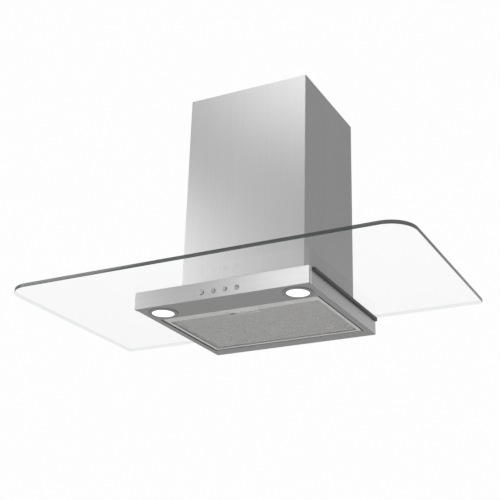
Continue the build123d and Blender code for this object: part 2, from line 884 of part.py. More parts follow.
def make_motor_bracket():
    """Three arms behind the motor, with feet on the side wall round the left inlet."""
    arm_x = motor_left - bracket_sheet
    foot_length = -(scroll_half_width + scroll_wall) - motor_left
    with BuildPart() as bracket:
        rod(Plane.YZ.offset(arm_x), motor_radius - 10, bracket_sheet, axis_point)
        with BuildSketch(Plane.YZ.offset(arm_x)) as arms:
            with Locations((fan_y, fan_z)):
                with PolarLocations(bracket_reach / 2, 3, start_angle=90):
                    Rectangle(bracket_reach, bracket_arm_width)
                with PolarLocations(bracket_foot_circle, 3, start_angle=90):
                    Circle(bracket_foot_radius)
        extrude(arms.sketch, amount=bracket_sheet)
        with BuildSketch(Plane.YZ.offset(motor_left)) as feet:
            with Locations((fan_y, fan_z)):
                with PolarLocations(bracket_foot_circle, 3, start_angle=90):
                    Circle(bracket_foot_radius)
        extrude(feet.sketch, amount=foot_length)
    save(bracket, "motor_bracket")


def make_fan_wheel():
    """Double-inlet wheel: a middle disc with a hub, curved blades, and a ring at each end."""
    blade_middle = (wheel_radius + wheel_inner_radius) / 2
    with BuildPart() as wheel:
        with BuildSketch(Plane.YZ.offset(-wheel_half_width)) as blades:
            with Locations((fan_y, fan_z)):
                with PolarLocations(blade_middle, blade_count):
                    with Locations(Location((0, 0, 0), (0, 0, blade_slant))):
                        Rectangle(wheel_radius - wheel_inner_radius, blade_thickness)
        extrude(blades.sketch, amount=2 * wheel_half_width)
        for left in (-wheel_half_width, wheel_half_width - wheel_ring):
            tube(left, left + wheel_ring, wheel_radius, wheel_inner_radius)
        tube(-wheel_disc / 2, wheel_disc / 2, wheel_radius, shaft_radius + shaft_clearance)
        tube(wheel_disc / 2, hub_length, hub_radius, shaft_radius + shaft_clearance)
    save(wheel, "impeller")

    with BuildPart() as nut:
        with BuildSketch(Plane.YZ.offset(hub_length)):
            with Locations((fan_y, fan_z)):
                RegularPolygon(wheel_nut_flats / 2, 6, major_radius=False)
                Circle(shaft_radius + shaft_clearance, mode=Mode.SUBTRACT)
        extrude(amount=wheel_nut_height)
    save(nut, "impeller_nut")


# ---------------------------------------------------------------- outlet and non-return valve


def spigot_screw_centres():
    """Four screws round the spigot's flange."""
    circle = spigot_flange_radius - spigot_screw_inset
    offset = Vector(circle, 0).rotate(Axis.Z, spigot_screw_angle)
    return [(side * offset.X, spigot_y + end * offset.Y) for side in (-1, 1) for end in (-1, 1)]


def make_spigot():
    """Round collar for the duct, with a ledge on which the closed flaps lie."""
    ledge_z = valve_z - flap_thickness / 2 - ledge_height - 0.5
    centre = ((0, spigot_y),)
    with BuildPart() as spigot:
        rod(Plane.XY.offset(box_top), spigot_flange_radius, spigot_flange, centre)
        rod(Plane.XY.offset(box_top), spigot_radius, spigot_height, centre)
        chamfer(spigot.edges().filter_by(GeomType.CIRCLE).sort_by(Axis.Z)[-1], edge_radius)
        rod(Plane.XY.offset(box_top), spigot_bore, ledge_z - box_top, centre, Mode.SUBTRACT)
        rod(Plane.XY.offset(ledge_z), spigot_bore - ledge_width, ledge_height, centre,
            Mode.SUBTRACT)
        rod(Plane.XY.offset(ledge_z + ledge_height), spigot_bore, spigot_height, centre,
            Mode.SUBTRACT)
        rod(Plane.XY.offset(box_top), spigot_screw_radius + 0.1, spigot_flange,
            spigot_screw_centres(), Mode.SUBTRACT)
        rod(Plane.YZ.offset(-spigot_radius), valve_pin_radius + 0.02, 2 * spigot_radius,
            ((spigot_y, valve_z),), Mode.SUBTRACT)
    save(spigot, "outlet_spigot")

    screw_bottom = box_top - sheet - 5
    with BuildPart() as screws:
        rod(Plane.XY.offset(screw_bottom), spigot_screw_radius,
            box_top + spigot_flange - screw_bottom, spigot_screw_centres())
        rod(Plane.XY.offset(box_top + spigot_flange), spigot_screw_radius + spigot_screw_head,
            screw_head_height, spigot_screw_centres())
    save(screws, "spigot_screws")

    with BuildPart() as pin:
        rod(Plane.YZ.offset(-spigot_radius + 0.5), valve_pin_radius, 2 * spigot_radius - 1,
            ((spigot_y, valve_z),))
    save(pin, "valve_pin")


def make_flap(node, side, knuckle_xs):
    """Half-round flap with two knuckles on the valve pin; side is -1 in front and 1 behind."""
    low = valve_z - flap_thickness / 2
    near = spigot_y + side * flap_setback
    far = spigot_y + side * (flap_radius + 1)
    with BuildPart() as flap:
        rod(Plane.XY.offset(low), flap_radius, flap_thickness, ((0, spigot_y),))
        block((-flap_radius, min(near, far), low),
              (flap_radius, max(near, far), low + flap_thickness), Mode.INTERSECT)
        for x in knuckle_xs:
            start = x - knuckle_length / 2
            rod(Plane.YZ.offset(start), knuckle_radius, knuckle_length, ((spigot_y, valve_z),))
            block((start, min(spigot_y, near), low),
                  (start + knuckle_length, max(spigot_y, near), low + flap_thickness))
            rod(Plane.YZ.offset(start), valve_pin_radius + running_clearance, knuckle_length,
                ((spigot_y, valve_z),), Mode.SUBTRACT)
    save(flap, node)


def make_valve():
    """Two flaps whose knuckles alternate along the pin."""
    spacing = knuckle_length + knuckle_gap
    make_flap("valve_flap_front", -1, (-1.5 * spacing, 0.5 * spacing))
    make_flap("valve_flap_rear", 1, (-0.5 * spacing, 1.5 * spacing))


# ---------------------------------------------------------------- supply side


def make_electronics():
    """Box, vented lid, terminal block and run capacitor in the blower box's corner."""
    right = box_half_width - sheet
    front = box_front + sheet
    back = front + case_depth
    top = case_bottom + case_height
    middle_x = (case_left + right) / 2
    with BuildPart() as case:
        block((case_left, front, case_bottom), (right, back, top))
        block((case_left + case_wall, front + case_wall, case_bottom + case_wall),
              (right - case_wall, back, top - case_wall), Mode.SUBTRACT)
    save(case, "electronics_box")

    lid_back = back + case_wall
    with BuildPart() as lid:
        block((case_left, back, case_bottom), (right, lid_back, top))
        fillet(lid.edges().filter_by(Axis.Y), 2)
        with BuildSketch(facing_front(lid_back)) as vents:
            with Locations((middle_x, (case_bottom + top) / 2)):
                with GridLocations(0, case_vent_pitch, 1, case_vent_count):
                    SlotOverall(case_vent_length, case_vent_width)
        extrude(vents.sketch, amount=case_wall, mode=Mode.SUBTRACT)
    save(lid, "electronics_lid")

    floor = case_bottom + case_wall
    terminal_left = case_left + terminal_pitch
    terminal_right = terminal_left + terminal_count * terminal_pitch
    terminal_front = front + case_wall
    well_bottom = floor + terminal_height - terminal_well_depth
    with BuildPart() as terminals:
        block((terminal_left, terminal_front, floor),
              (terminal_right, terminal_front + terminal_depth, floor + terminal_height))
        with BuildSketch(Plane.XY.offset(well_bottom)) as wells:
            with Locations(((terminal_left + terminal_right) / 2,
                            terminal_front + terminal_depth / 2)):
                with GridLocations(terminal_pitch, 0, terminal_count, 1):
                    Circle(terminal_well_radius)
        extrude(wells.sketch, amount=terminal_well_depth, mode=Mode.SUBTRACT)
    save(terminals, "terminal_block")

    capacitor_y = front + case_wall + capacitor_radius + 2
    with BuildPart() as capacitor:
        rod(Plane.XY.offset(floor + capacitor_rise), capacitor_radius, capacitor_height,
            ((middle_x, capacitor_y),))
        fillet(capacitor.edges().filter_by(GeomType.CIRCLE), bend_radius)
    save(capacitor, "run_capacitor")


def make_gland():
    """Cable inlet in the box's top plate: threaded body, hexagonal collar and nose."""
    tail_bottom = box_top - sheet - gland_tail
    nose_bottom = box_top + gland_collar_height
    nose_top = nose_bottom + gland_nose
    centre = ((gland_x, gland_y),)
    with BuildPart() as gland:
        rod(Plane.XY.offset(tail_bottom), gland_thread_radius, box_top - tail_bottom, centre)
        with BuildSketch(Plane.XY.offset(box_top)) as collar:
            with Locations(*centre):
                RegularPolygon(gland_collar_radius, 6)
        extrude(collar.sketch, amount=gland_collar_height)
        rod(Plane.XY.offset(nose_bottom), gland_thread_radius, gland_nose, centre)
        fillet(gland.edges().filter_by(GeomType.CIRCLE).sort_by(Axis.Z)[-1], 2)
        rod(Plane.XY.offset(tail_bottom), gland_bore, nose_top - tail_bottom, centre,
            Mode.SUBTRACT)
    save(gland, "cable_gland")


# ---------------------------------------------------------------- chimney


def make_chimney_section(node, half_width, front, back, bottom, top):
    """Folded U-shaped cover, open to the wall between two narrow returns."""
    with BuildPart() as section:
        slab(bottom, top - bottom, half_width, front, back)
        fillet(section.edges().filter_by(Axis.Z).group_by(Axis.Y)[0], chimney_bend)
        slab(bottom, top - bottom, half_width - chimney_sheet, front + chimney_sheet,
             back - chimney_sheet, mode=Mode.SUBTRACT)
        slab(bottom, top - bottom, half_width - chimney_return, back - chimney_sheet, back,
             mode=Mode.SUBTRACT)
    save(section, node)


def make_chimney():
    make_chimney_section("lower_chimney", chimney_half_width, chimney_front, 0,
                         glass_top, chimney_top)
    inset = chimney_sheet + sleeve_gap
    make_chimney_section("upper_chimney", chimney_half_width - inset, chimney_front + inset,
                         -inset, sleeve_bottom, chimney_top - sleeve_drop)


def make_chimney_rests():
    """Z-shaped brackets on the blower box: they centre the chimney and carry its inner section."""
    outer = chimney_half_width - chimney_sheet
    ledge_bottom = rest_top - sheet
    with BuildPart() as rests:
        for side in (-1, 1):
            box_side = sorted((side * box_half_width, side * (box_half_width + sheet)))
            lip_side = sorted((side * (outer - sheet), side * outer))
            span = sorted((side * box_half_width, side * outer))
            block((box_side[0], rest_front, ledge_bottom),
                  (box_side[1], rest_back, rest_top + rest_height))
            block((span[0], rest_front, ledge_bottom), (span[1], rest_back, rest_top))
            block((lip_side[0], rest_front, rest_top - rest_height),
                  (lip_side[1], rest_back, rest_top))
    save(rests, "chimney_rests")


def make_chimney_bracket():
    """Wall bracket: flat bar on the wall, stepped forward at its ends, with an ear each side."""
    bottom = bracket_top - bracket_height
    inset = chimney_sheet + sleeve_gap + chimney_sheet
    ear_outer = chimney_half_width - inset - 0.8
    step = -inset - 2
    with BuildPart() as bracket:
        block((-bracket_half_width, -sheet, bottom), (bracket_half_width, 0, bracket_top))
        for side in (-1, 1):
            web = sorted((side * (bracket_half_width - sheet), side * bracket_half_width))
            arm = sorted((side * (bracket_half_width - sheet), side * ear_outer))
            ear = sorted((side * (ear_outer - sheet), side * ear_outer))
            block((web[0], step - sheet, bottom), (web[1], 0, bracket_top))
            block((arm[0], step - sheet, bottom), (arm[1], step, bracket_top))
            block((ear[0], step - bracket_ear, bottom), (ear[1], step, bracket_top))
        with BuildSketch(facing_front(0)) as slots:
            with Locations((-bracket_slot_x, bracket_top - bracket_height / 2),
                           (bracket_slot_x, bracket_top - bracket_height / 2)):
                SlotOverall(bracket_slot_length, 2 * bracket_slot_radius)
        extrude(slots.sketch, amount=sheet, mode=Mode.SUBTRACT)
    save(bracket, "chimney_bracket")


# ---------------------------------------------------------------- build everything

make_glass()
make_glass_fixings()
make_support_frame()
make_casing()
make_front_panel()
make_partition()
make_lamp("left", -lamp_x)
make_lamp("right", lamp_x)
for position, button_centre in enumerate(button_centres()):
    make_button(position, button_centre)
make_switch_unit()
make_filter_frame()
make_mesh_layers()
make_latch()
make_pivot_clips()
make_blower_back()
make_blower_wrapper()
make_blower_top()
make_scroll_half("scroll_left", -1)
make_scroll_half("scroll_right", 1)
make_scroll_screws()
make_motor_housing()
make_motor_core()
make_motor_bracket()
make_fan_wheel()
make_spigot()
make_valve()
make_electronics()
make_gland()
make_chimney()
make_chimney_rests()
make_chimney_bracket()
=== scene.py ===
"""Looks of the wall-mounted range hood: materials, the glass pane, the filter's expanded mesh,
light and camera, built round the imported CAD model. Everything is in metres, in the CAD frame."""

import json
import math

import bmesh
import bpy
from mathutils import Matrix, Vector


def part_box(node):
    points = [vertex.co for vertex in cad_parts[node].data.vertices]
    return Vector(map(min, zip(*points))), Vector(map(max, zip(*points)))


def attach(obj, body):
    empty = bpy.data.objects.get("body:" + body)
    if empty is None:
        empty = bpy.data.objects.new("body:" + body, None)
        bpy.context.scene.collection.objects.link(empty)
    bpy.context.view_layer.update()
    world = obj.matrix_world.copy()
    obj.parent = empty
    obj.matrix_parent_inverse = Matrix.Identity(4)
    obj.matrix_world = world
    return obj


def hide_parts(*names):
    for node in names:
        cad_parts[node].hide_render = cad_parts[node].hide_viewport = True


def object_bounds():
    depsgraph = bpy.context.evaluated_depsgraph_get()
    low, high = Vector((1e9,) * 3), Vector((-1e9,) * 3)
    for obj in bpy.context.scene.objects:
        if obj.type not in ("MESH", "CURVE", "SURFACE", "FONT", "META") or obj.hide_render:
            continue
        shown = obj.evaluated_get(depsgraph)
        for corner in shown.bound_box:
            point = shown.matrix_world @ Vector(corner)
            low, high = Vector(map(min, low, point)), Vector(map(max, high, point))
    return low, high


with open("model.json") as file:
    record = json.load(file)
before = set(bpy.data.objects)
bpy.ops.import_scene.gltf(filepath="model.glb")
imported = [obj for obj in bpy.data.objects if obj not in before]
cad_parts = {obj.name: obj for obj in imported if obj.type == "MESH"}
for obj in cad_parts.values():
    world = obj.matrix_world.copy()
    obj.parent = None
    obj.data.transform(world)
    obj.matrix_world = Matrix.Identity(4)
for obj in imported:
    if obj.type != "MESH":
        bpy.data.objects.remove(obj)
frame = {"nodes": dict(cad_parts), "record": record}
cad_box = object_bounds()
nodes = frame["nodes"]

# ---------------------------------------------------------------- colours (linear RGB)

# The chimney, the body and the front panel are three grades of stainless steel sheet.
STEEL_CHIMNEY = (0.56, 0.557, 0.56)
STEEL_BODY = (0.435, 0.433, 0.435)
STEEL_PANEL = (0.62, 0.617, 0.62)
ZINC = (0.50, 0.52, 0.53)
ZINC_FROST = (0.6, 0.61, 0.6)
ZINC_PLATE = (0.6, 0.6, 0.58)
ALUMINIUM = (0.71, 0.707, 0.705)
CHROME = (0.95, 0.95, 0.94)
BUTTON_CHROME = (0.45, 0.45, 0.45)
BEZEL = (0.34, 0.34, 0.34)
MOTOR_PLATE = (0.33, 0.34, 0.35)
SHEETS_DARK = (0.13, 0.125, 0.12)
SHEETS_LIGHT = (0.3, 0.29, 0.28)
BLACK = (0.075, 0.075, 0.076)
GREY = (0.16, 0.165, 0.17)
NYLON = (0.62, 0.61, 0.57)
LED_BOARD = (0.75, 0.74, 0.68)
BOARD_GREEN = (0.02, 0.12, 0.045)
PAD_TIN = (0.6, 0.6, 0.58)
COPPER = (0.55, 0.25, 0.12)
LENS = (0.9, 0.91, 0.9)
LAMP_LIGHT = (1.0, 0.99, 0.965)
FLOOR_DARK = (0.8, 0.8, 0.79)
FLOOR_LIGHT = (0.84, 0.84, 0.83)

# The pane: what its faces let through, its edge at the front and at the wall, where painted
# light from the wall makes it paler, and what the far edge lets through when it is seen from
# inside the pane.
GLASS_TINT = (0.994, 0.998, 0.996)
EDGE_TINT = (0.045, 0.056, 0.052)
# Painted light: the edge's colour at the wall, paler for light from the wall entering the glass.
EDGE_TINT_LIT_FROM_WALL = (0.33, 0.36, 0.35)
INNER_EDGE_TINT = (0.945, 0.96, 0.955)

ALONG_X = (1, 0, 0)
ALONG_Y = (0, 1, 0)
ALONG_Z = (0, 0, 1)

# Rounding that the shading gives to every edge, how finely it is sampled, and how far the
# painted highlight along each edge reaches from it.
EDGE_ROUNDING = 0.0005
BEVEL_SAMPLES = 4
EDGE_HIGHLIGHT_WIDTH = 0.0009

# The brushed steel's roughness, how far its highlights are stretched across the grain, and how
# much the roughness drifts either way.
CHIMNEY_POLISH = {"roughness": 0.3, "stretch": 0.5}
BODY_POLISH = {"roughness": 0.36, "stretch": 0.94}
POLISH_SPREAD = 0.006

# The filter's mesh and its rolled frame are the one aluminium made lighter by painted light, the
# frame more than the mesh.
MESH_PAINTED_LIGHT = 1.08
FRAME_PAINTED_LIGHT = 1.2

# Sets how strongly the pane reflects: lower than glass's own 1.5, as the pane in the photograph
# hardly mirrors anything.
REFLECTION_IOR = 1.18

# ---------------------------------------------------------------- node helpers


class Shader:
    """A material's node tree with one Principled shader, and short calls that add nodes to it."""

    def __init__(self, name, base, metallic=0.0, roughness=0.5):
        self.material = bpy.data.materials.new(name)
        self.material.use_nodes = True
        self.tree = self.material.node_tree
        self.bsdf = self.tree.nodes["Principled BSDF"]
        self.output = self.tree.nodes["Material Output"]
        self.set("Base Color", (*base, 1))
        self.set("Metallic", metallic)
        self.set("Roughness", roughness)
        self.place = self.node("ShaderNodeTexCoord").outputs["Object"]

    def node(self, kind, **settings):
        """Add a node and set its properties."""
        made = self.tree.nodes.new(kind)
        for key, value in settings.items():
            setattr(made, key, value)
        return made

    def link(self, source, target):
        self.tree.links.new(source, target)

    def set(self, socket, value):
        self.bsdf.inputs[socket].default_value = value

    def drive(self, socket, source):
        """Let a node's output set a socket of the Principled shader."""
        self.link(source, self.bsdf.inputs[socket])

    def stretched(self, scale):
        """Object coordinates multiplied by a scale for each axis."""
        mapping = self.node("ShaderNodeMapping")
        mapping.inputs["Scale"].default_value = scale
        self.link(self.place, mapping.inputs["Vector"])
        return mapping.outputs["Vector"]

    def noise(self, scale, detail=3.0, rough=0.55):
        """Noise over object coordinates: scale is one number or one for each axis, per metre."""
        axes = scale if hasattr(scale, "__len__") else (scale, scale, scale)
        return self.noise_over(self.stretched(axes), detail, rough)

    def noise_over(self, coordinates, detail, rough):
        """Noise over coordinates that are already scaled."""
        texture = self.node("ShaderNodeTexNoise")
        texture.inputs["Scale"].default_value = 1.0
        texture.inputs["Detail"].default_value = detail
        texture.inputs["Roughness"].default_value = rough
        self.link(coordinates, texture.inputs["Vector"])
        return texture.outputs["Fac"]

    def cells(self, scale, feature="F1"):
        """Cell pattern over object coordinates, with this many cells per metre."""
        texture = self.node("ShaderNodeTexVoronoi", feature=feature)
        texture.inputs["Scale"].default_value = 1.0
        self.link(self.stretched((scale,) * 3), texture.inputs["Vector"])
        return texture

    def ranged(self, value, to=(0.0, 1.0), when=(0.0, 1.0)):
        """Map a value between the two numbers of `when` to the two of `to`, clamped."""
        mapper = self.node("ShaderNodeMapRange")
        mapper.inputs["From Min"].default_value, mapper.inputs["From Max"].default_value = when
        mapper.inputs["To Min"].default_value, mapper.inputs["To Max"].default_value = to
        self.link(value, mapper.inputs["Value"])
        return mapper.outputs["Result"]

    def math(self, operation, first, second):
        """Arithmetic on two values; each is a number or a node's output."""
        made = self.node("ShaderNodeMath", operation=operation)
        for index, value in enumerate((first, second)):
            if isinstance(value, (int, float)):
                made.inputs[index].default_value = value
            else:
                self.link(value, made.inputs[index])
        return made.outputs["Value"]

    def blend(self, first, second, share):
        """Sum of two values, the first weighted with a share and the second with the rest."""
        return self.math("ADD", self.math("MULTIPLY", first, share),
                         self.math("MULTIPLY", second, 1 - share))

    def tint(self, factor, dark, light):
        """Colour between two colours by a factor."""
        mix = self.node("ShaderNodeMix", data_type="RGBA")
        mix.inputs["A"].default_value = (*dark, 1)
        mix.inputs["B"].default_value = (*light, 1)
        self.link(factor, mix.inputs["Factor"])
        return mix.outputs["Result"]

    def over(self, factor, under, colour):
        """Lay a plain colour over another colour where the factor is high."""
        mix = self.node("ShaderNodeMix", data_type="RGBA")
        self.link(under, mix.inputs["A"])
        mix.inputs["B"].default_value = (*colour, 1)
        self.link(factor, mix.inputs["Factor"])
        return mix.outputs["Result"]

    def bump(self, height, strength, distance):
        """Relief on top of slightly rounded edges."""
        made = self.node("ShaderNodeBump")
        made.inputs["Strength"].default_value = strength
        made.inputs["Distance"].default_value = distance
        self.link(height, made.inputs["Height"])
        self.link(self.rounded(EDGE_ROUNDING), made.inputs["Normal"])
        self.drive("Normal", made.outputs["Normal"])

    def rounded(self, radius):
        """Surface direction as if every edge had this radius."""
        bevel = self.node("ShaderNodeBevel", samples=BEVEL_SAMPLES)
        bevel.inputs["Radius"].default_value = radius
        return bevel.outputs["Normal"]

    def painted_edge_highlight(self):
        """High along every edge: the mask of a painted highlight for the light that edges catch."""
        turn = self.vector_math("DOT_PRODUCT", self.face_direction(), self.rounded(EDGE_HIGHLIGHT_WIDTH))
        return self.ranged(turn["Value"], to=(0.6, 0.0), when=(0.8, 0.99))

    def seen_from_inside(self):
        """One where a face is looked at from behind, through the pane."""
        return self.node("ShaderNodeNewGeometry").outputs["Backfacing"]

    def face_direction(self):
        """Direction the surface looks in."""
        return self.node("ShaderNodeNewGeometry").outputs["Normal"]

    def vector_math(self, operation, first, second):
        """Arithmetic on two vectors; each is three numbers or a node's output."""
        made = self.node("ShaderNodeVectorMath", operation=operation)
        for index, value in enumerate((first, second)):
            if hasattr(value, "is_linked"):
                self.link(value, made.inputs[index])
            else:
                made.inputs[index].default_value = value
        return made.outputs

    def looks_along(self, axis):
        """One on faces square to an axis, zero on all the others."""
        facing = self.vector_math("DOT_PRODUCT", self.face_direction(), axis)["Value"]
        return self.math("GREATER_THAN", self.math("ABSOLUTE", facing, 0), 0.7)

    def grain(self, axis, end_axis, along, across, detail=3.0, rough=0.6):
        """Noise drawn out along the grain's axis, or along the second axis on end faces."""
        scales = [Vector((across,) * 3) + Vector(line) * (along - across)
                  for line in (axis, end_axis)]
        mix = self.node("ShaderNodeMix", data_type="VECTOR")
        mix.inputs["A"].default_value = scales[0]
        mix.inputs["B"].default_value = scales[1]
        self.link(self.looks_along(axis), mix.inputs["Factor"])
        scaled = self.vector_math("MULTIPLY", self.place, mix.outputs["Result"])["Vector"]
        return self.noise_over(scaled, detail, rough)

    def stretch_highlights(self, axis, end_axis, amount):
        """Draw highlights out square to the grain, as brushing does."""
        across = self.vector_math("CROSS_PRODUCT", self.face_direction(), axis)["Vector"]
        slight = Vector(axis).cross(Vector(end_axis)) * 0.01
        tangent = self.vector_math("ADD", across, slight)["Vector"]
        self.drive("Tangent", tangent)
        self.set("Anisotropic", amount)


def shaded(colour, factor):
    """A colour made darker or lighter by a factor."""
    return tuple(min(1.0, channel * factor) for channel in colour)


# ---------------------------------------------------------------- materials


def brushed_steel(name, colour, axis, end_axis, roughness, stretch):
    """Satin stainless steel: fine streaks along the grain, highlights stretched across it, faint
    smudges. On faces that look along the grain it runs along the second axis."""
    shader = Shader(name, colour, metallic=1.0, roughness=roughness)
    fine = shader.grain(axis, end_axis, along=9.0, across=1600.0, detail=3.0, rough=0.7)
    streaks = shader.grain(axis, end_axis, along=0.5, across=260.0, detail=4.0, rough=0.65)
    polish = shader.grain(axis, end_axis, along=0.4, across=22.0, detail=1.0)
    smudges = shader.noise(3.0, detail=0.0)
    lightness = shader.ranged(shader.blend(fine, streaks, 0.5), when=(0.35, 0.65))
    steel = shader.tint(lightness, shaded(colour, 0.95), shaded(colour, 1.05))
    # Painted highlight: the steel is lighter along every edge.
    shader.drive("Base Color", shader.over(shader.painted_edge_highlight(), steel, shaded(colour, 1.3)))
    polished = shader.ranged(polish, to=(roughness - POLISH_SPREAD, roughness + POLISH_SPREAD),
                             when=(0.3, 0.7))
    smudged = shader.ranged(smudges, to=(-POLISH_SPREAD, POLISH_SPREAD), when=(0.2, 0.8))
    shader.drive("Roughness", shader.math("ADD", polished, smudged))
    shader.stretch_highlights(axis, end_axis, stretch)
    shader.bump(fine, strength=0.05, distance=0.00001)
    return shader.material


def galvanised(name):
    """Hot-dip zinc: overlapping spangles of slightly different grey, with a frosted bloom."""
    shader = Shader(name, ZINC, metallic=1.0, roughness=0.42)
    spangle = shader.cells(95.0)
    tone = shader.node("ShaderNodeSeparateColor")
    shader.link(spangle.outputs["Color"], tone.inputs["Color"])
    frost = shader.noise(420.0, detail=4.0)
    bloom = shader.ranged(frost, to=(0.0, 0.25), when=(0.5, 0.8))
    zinc = shader.tint(tone.outputs["Red"], shaded(ZINC, 0.82), shaded(ZINC, 1.12))
    shader.drive("Base Color", shader.over(bloom, zinc, ZINC_FROST))
    shader.drive("Roughness", shader.ranged(tone.outputs["Green"], to=(0.34, 0.52)))
    shader.bump(frost, strength=0.15, distance=0.0001)
    return shader.material


def turned_metal(name, colour, roughness, scale=900.0):
    """Plated, cast or drawn metal with fine scratches, and a painted highlight along its edges."""
    shader = Shader(name, colour, metallic=1.0, roughness=roughness)
    scratches = shader.noise((scale, scale * 0.2, scale * 0.7), detail=2.0, rough=0.6)
    clouds = shader.noise(60.0, detail=3.0)
    tone = shader.ranged(shader.blend(clouds, scratches, 0.7), when=(0.3, 0.7))
    metal = shader.tint(tone, shaded(colour, 0.9), shaded(colour, 1.05))
    # Painted highlight: the metal is lighter along every edge.
    shader.drive("Base Color", shader.over(shader.painted_edge_highlight(), metal, shaded(colour, 1.2)))
    shader.drive("Roughness", shader.ranged(clouds, to=(roughness * 0.88, roughness * 1.16),
                                            when=(0.3, 0.7)))
    shader.bump(scratches, strength=0.04, distance=0.00002)
    return shader.material


def moulded_plastic(name, colour, roughness):
    """Injection-moulded plastic: spark-eroded texture, faint flow marks, and a paler painted
    highlight along its edges.
    """
    shader = Shader(name, colour, roughness=roughness)
    texture = shader.noise(2400.0, detail=2.0)
    flow = shader.noise((18.0, 30.0, 18.0), detail=2.0)
    marks = shader.ranged(flow, when=(0.3, 0.7))
    plastic = shader.tint(marks, shaded(colour, 0.88), shaded(colour, 1.14))
    # Painted highlight: the plastic is paler along every edge.
    painted_highlight_colour = tuple(channel * 0.7 + 0.07 for channel in colour)
    shader.drive("Base Color", shader.over(shader.painted_edge_highlight(), plastic, painted_highlight_colour))
    shader.drive("Roughness", shader.ranged(flow, to=(roughness - 0.07, roughness + 0.07),
                                            when=(0.3, 0.7)))
    shader.bump(texture, strength=0.2, distance=0.00008)
    return shader.material


def laminated_core(name):
    """Stacked steel sheets round the motor's axis, with copper showing at the windings."""
    shader = Shader(name, SHEETS_LIGHT, metallic=1.0, roughness=0.45)
    sheets = shader.noise((1800.0, 4.0, 4.0), detail=1.0)
    windings = shader.noise((30.0, 500.0, 500.0), detail=2.0)
    steel = shader.tint(shader.ranged(sheets, when=(0.4, 0.6)), SHEETS_DARK, SHEETS_LIGHT)
    shown = shader.ranged(windings, to=(0.0, 0.5), when=(0.55, 0.75))
    shader.drive("Base Color", shader.over(shown, steel, COPPER))
    shader.bump(sheets, strength=0.3, distance=0.0001)
    return shader.material


def circuit_board(name):
    """Green solder mask with a pattern of tracks and tinned pads."""
    shader = Shader(name, BOARD_GREEN, roughness=0.32)
    tracks = shader.cells(260.0, feature="DISTANCE_TO_EDGE")
    pads = shader.cells(420.0)
    track_mask = shader.ranged(tracks.outputs["Distance"], to=(1.0, 0.0), when=(0.02, 0.06))
    pad_mask = shader.ranged(pads.outputs["Distance"], to=(1.0, 0.0), when=(0.1, 0.16))
    green = shader.tint(track_mask, BOARD_GREEN, shaded(BOARD_GREEN, 2.2))
    shader.drive("Base Color", shader.over(pad_mask, green, PAD_TIN))
    shader.bump(track_mask, strength=0.3, distance=0.0001)
    return shader.material


def lit_lens(name, centre):
    """Frosted lens of a lamp that is switched on, brightest in the middle."""
    shader = Shader(name, LENS, roughness=0.35)
    offset = shader.vector_math("DISTANCE", shader.place, centre)["Value"]
    frost = shader.noise(900.0, detail=2.0)
    glow = shader.ranged(offset, to=(1.25, 0.75), when=(0.004, 0.026))
    grain = shader.ranged(frost, to=(0.93, 1.07), when=(0.3, 0.7))
    shader.drive("Emission Strength", shader.math("MULTIPLY", glow, grain))
    shader.set("Emission Color", (*LAMP_LIGHT, 1))
    shader.bump(frost, strength=0.25, distance=0.00015)
    return shader.material


def see_through(solid, colour, clear_share):
    """Mix of a clear shader and a solid one; clear_share gives how much is clear."""
    clear = solid.node("ShaderNodeBsdfTransparent")
    clear.inputs["Color"].default_value = (*colour, 1)
    mix = solid.node("ShaderNodeMixShader")
    solid.link(clear_share, mix.inputs["Fac"])
    solid.link(solid.bsdf.outputs["BSDF"], mix.inputs[1])
    solid.link(clear.outputs["BSDF"], mix.inputs[2])
    solid.link(mix.outputs["Shader"], solid.output.inputs["Surface"])
    return solid.material


def clear_pane(name):
    """Faces of the pane: clear, with reflections that grow towards grazing angles."""
    shader = Shader(name, (1, 1, 1), metallic=1.0, roughness=0.03)
    smears = shader.noise((5.0, 9.0, 5.0), detail=3.0)
    shader.drive("Roughness", shader.ranged(smears, to=(0.02, 0.09), when=(0.4, 0.75)))
    fresnel = shader.node("ShaderNodeFresnel")
    fresnel.inputs["IOR"].default_value = REFLECTION_IOR
    outside = shader.math("SUBTRACT", 1.0, shader.seen_from_inside())
    mirrored = shader.math("MULTIPLY", fresnel.outputs["Fac"], outside)
    return see_through(shader, GLASS_TINT, shader.math("SUBTRACT", 1.0, mirrored))


def pane_edge(name):
    """Polished edge of the pane: grey-green from outside, where the light has crossed the whole
    width of the glass, paler towards the wall with painted light from the wall, and pale when
    looked at through the pane."""
    shader = Shader(name, EDGE_TINT, roughness=0.1)
    bands = shader.noise((2.5, 2.5, 420.0), detail=2.0)
    drift = shader.noise(2.0, detail=2.0)
    place = shader.node("ShaderNodeSeparateXYZ")
    shader.link(shader.place, place.inputs["Vector"])
    low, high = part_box("glass_canopy")
    # Painted light: the edge grows paler towards the wall, for light from the wall entering the
    # glass.
    painted_wall_light = shader.ranged(place.outputs["Y"], to=(0.0, 0.85), when=(low.y, high.y))
    drifted = shader.ranged(drift, to=(0.0, 0.12), when=(0.5, 0.8))
    edge = shader.tint(shader.ranged(bands, when=(0.35, 0.65)),
                       shaded(EDGE_TINT, 0.65), shaded(EDGE_TINT, 1.6))
    paler = shader.math("MAXIMUM", painted_wall_light, drifted)
    shader.drive("Base Color", shader.over(paler, edge, EDGE_TINT_LIT_FROM_WALL))
    clear_share = shader.ranged(shader.seen_from_inside(), to=(0.06, 0.92))
    return see_through(shader, INNER_EDGE_TINT, clear_share)


